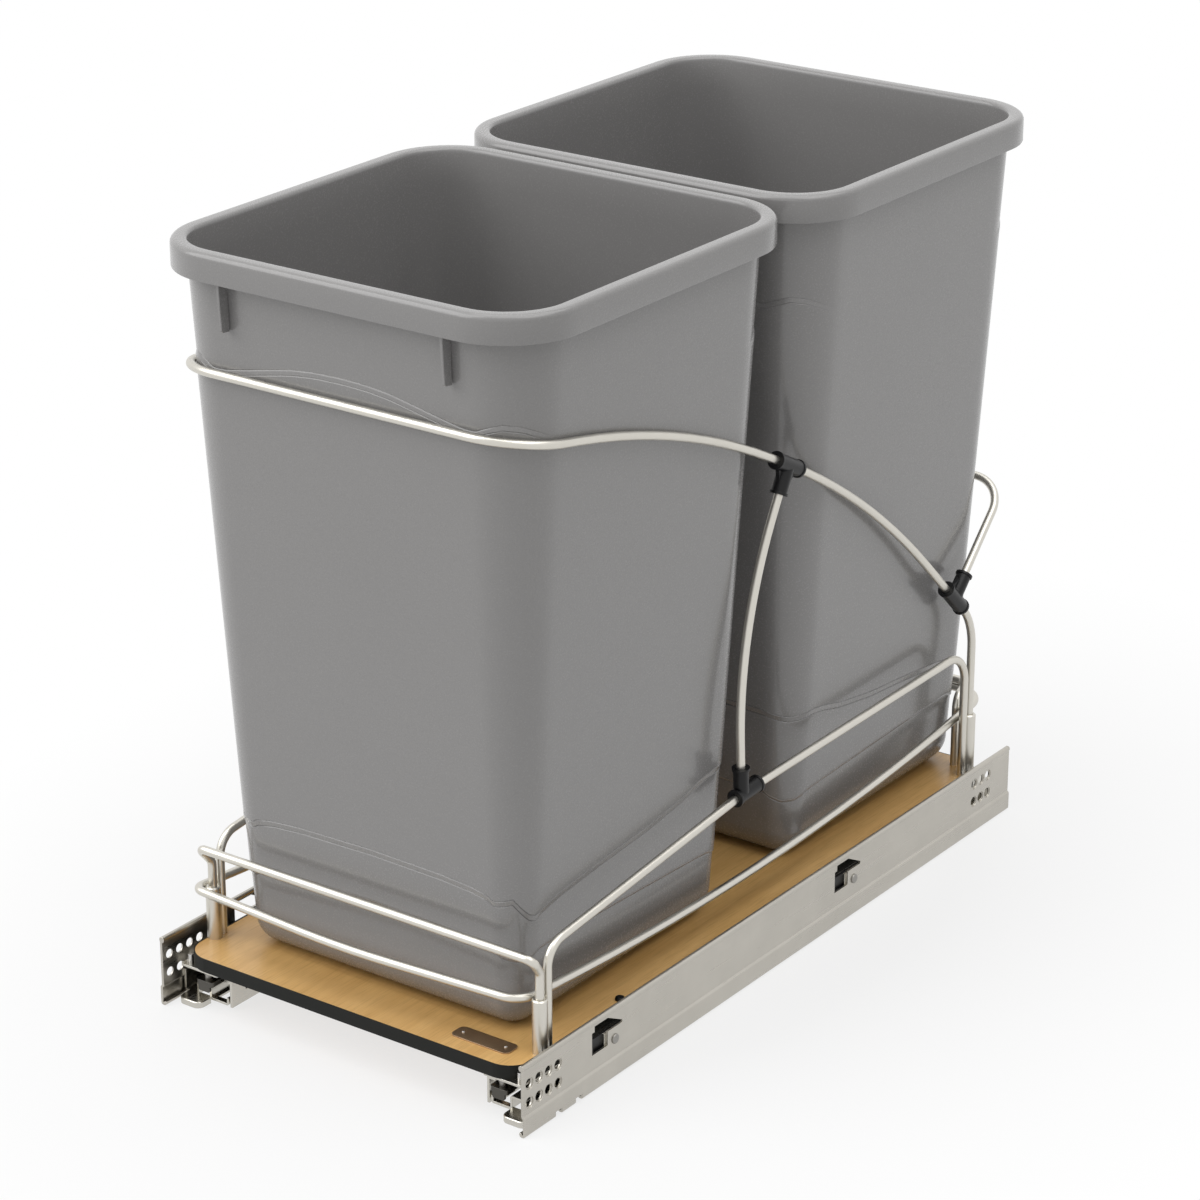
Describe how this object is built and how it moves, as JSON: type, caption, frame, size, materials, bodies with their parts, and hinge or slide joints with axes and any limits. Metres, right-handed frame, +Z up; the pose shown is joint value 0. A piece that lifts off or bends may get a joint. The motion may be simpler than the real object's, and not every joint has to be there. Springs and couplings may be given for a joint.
{
  "type": "pull out waste bin unit",
  "caption": "Pull-out waste unit: lift-out tapered bins on a wooden platform with a wire cradle, running on full-extension slides that screw to a cabinet's sides.",
  "frame": {"origin": "on the cabinet floor, at the middle of the overall width and depth", "axes": "+Z up, -Y the way the unit pulls out, +X to the right of a user who faces it"},
  "size_m": [0.2844, 0.5772, 0.4955],
  "materials": {
    "bracket_steel": "warm grey plated steel, satin",
    "slide_steel": "plated steel, satin",
    "zinc_screw": "zinc plated",
    "black_plastic": "moulded, fine grain",
    "roller_plastic": "moulded, natural",
    "lever_steel": "dark coated steel",
    "maple": "clear lacquered maple veneer",
    "black_band": "edge band",
    "black_screw": "black oxide",
    "bronze": "dark bronze, satin",
    "bin_grey": "moulded, semi gloss",
    "wire_nickel": "satin nickel"
  },
  "bodies": {
    "slide_base": {"cabinet_bracket_right": "bracket_steel", "fixed_runner_right": "slide_steel", "runner_rivets_right": "zinc_screw", "guide_blocks_right": "black_plastic", "cabinet_bracket_left": "bracket_steel", "fixed_runner_left": "slide_steel", "runner_rivets_left": "zinc_screw", "guide_blocks_left": "black_plastic"},
    "carriage": {"back_hoop": "wire_nickel", "blank_plate": "bronze", "drawer_member_left": "slide_steel", "drawer_member_right": "slide_steel", "edge_band": "black_band", "edge_screws": "black_screw", "front_bar": "wire_nickel", "lever_pin_left": "zinc_screw", "lever_pin_right": "zinc_screw", "lock_plate_left": "slide_steel", "lock_plate_right": "slide_steel", "lock_screws": "zinc_screw", "lower_loop": "wire_nickel", "lower_tee_left": "black_plastic", "lower_tee_right": "black_plastic", "plate_pins": "bronze", "platform_board": "maple", "post_front_left": "wire_nickel", "post_front_right": "wire_nickel", "post_rear_left": "wire_nickel", "post_rear_right": "wire_nickel", "post_studs": "zinc_screw", "rear_bar": "wire_nickel", "rear_tee_left": "black_plastic", "rear_tee_right": "black_plastic", "side_rail_left": "wire_nickel", "side_rail_right": "wire_nickel", "strut_left": "wire_nickel", "strut_right": "wire_nickel", "top_tee_left": "black_plastic", "top_tee_right": "black_plastic", "under_screws": "zinc_screw", "upper_hoop": "wire_nickel"},
    "front_bin_body": {"front_bin": "bin_grey"},
    "rear_bin_body": {"rear_bin": "bin_grey"},
    "middle_right": {"middle_member_right": "slide_steel"},
    "lower_rolling_right": {"lower_cage_right": "roller_plastic", "lower_rollers_right": "roller_plastic"},
    "upper_rolling_right": {"upper_cage_right": "roller_plastic", "upper_rollers_right": "roller_plastic"},
    "lever_right": {"release_lever_right": "lever_steel"},
    "middle_left": {"middle_member_left": "slide_steel"},
    "lower_rolling_left": {"lower_cage_left": "roller_plastic", "lower_rollers_left": "roller_plastic"},
    "upper_rolling_left": {"upper_cage_left": "roller_plastic", "upper_rollers_left": "roller_plastic"},
    "lever_left": {"release_lever_left": "lever_steel"}
  },
  "joints": [
    {"name": "carriage_slide", "type": "slide", "parent": "slide_base", "child": "carriage", "axis": [0, -1, 0], "range_m": [0, 0.53]},
    {"name": "middle_slide_right", "type": "slide", "parent": "slide_base", "child": "middle_right", "axis": [0, -1, 0], "range_m": [0, 0.265]},
    {"name": "lower_rolling_slide_right", "type": "slide", "parent": "slide_base", "child": "lower_rolling_right", "axis": [0, -1, 0], "range_m": [0, 0.1325]},
    {"name": "upper_rolling_slide_right", "type": "slide", "parent": "slide_base", "child": "upper_rolling_right", "axis": [0, -1, 0], "range_m": [0, 0.3975]},
    {"name": "release_lever_right", "type": "hinge", "parent": "carriage", "child": "lever_right", "pos_m": [0.115, -0.2736, 0.0186], "axis": [0, 0, 1], "range_deg": [0, 12], "stiffness_Nm_per_rad": 0.05},
    {"name": "middle_slide_left", "type": "slide", "parent": "slide_base", "child": "middle_left", "axis": [0, -1, 0], "range_m": [0, 0.265]},
    {"name": "lower_rolling_slide_left", "type": "slide", "parent": "slide_base", "child": "lower_rolling_left", "axis": [0, -1, 0], "range_m": [0, 0.1325]},
    {"name": "upper_rolling_slide_left", "type": "slide", "parent": "slide_base", "child": "upper_rolling_left", "axis": [0, -1, 0], "range_m": [0, 0.3975]},
    {"name": "release_lever_left", "type": "hinge", "parent": "carriage", "child": "lever_left", "pos_m": [-0.115, -0.2736, 0.0186], "axis": [0, 0, -1], "range_deg": [0, 12], "stiffness_Nm_per_rad": 0.05},
    {"name": "front_bin_lift", "type": "slide", "parent": "carriage", "child": "front_bin_body", "axis": [0, 0, 1], "range_m": [0, 0.47]},
    {"name": "rear_bin_lift", "type": "slide", "parent": "carriage", "child": "rear_bin_body", "axis": [0, 0, 1], "range_m": [0, 0.47]}
  ],
  "couplings": [
    {"joint": "middle_slide_right", "follows": "carriage_slide", "ratio": 0.5},
    {"joint": "lower_rolling_slide_right", "follows": "carriage_slide", "ratio": 0.25},
    {"joint": "upper_rolling_slide_right", "follows": "carriage_slide", "ratio": 0.75},
    {"joint": "middle_slide_left", "follows": "carriage_slide", "ratio": 0.5},
    {"joint": "lower_rolling_slide_left", "follows": "carriage_slide", "ratio": 0.25},
    {"joint": "upper_rolling_slide_left", "follows": "carriage_slide", "ratio": 0.75}
  ]
}
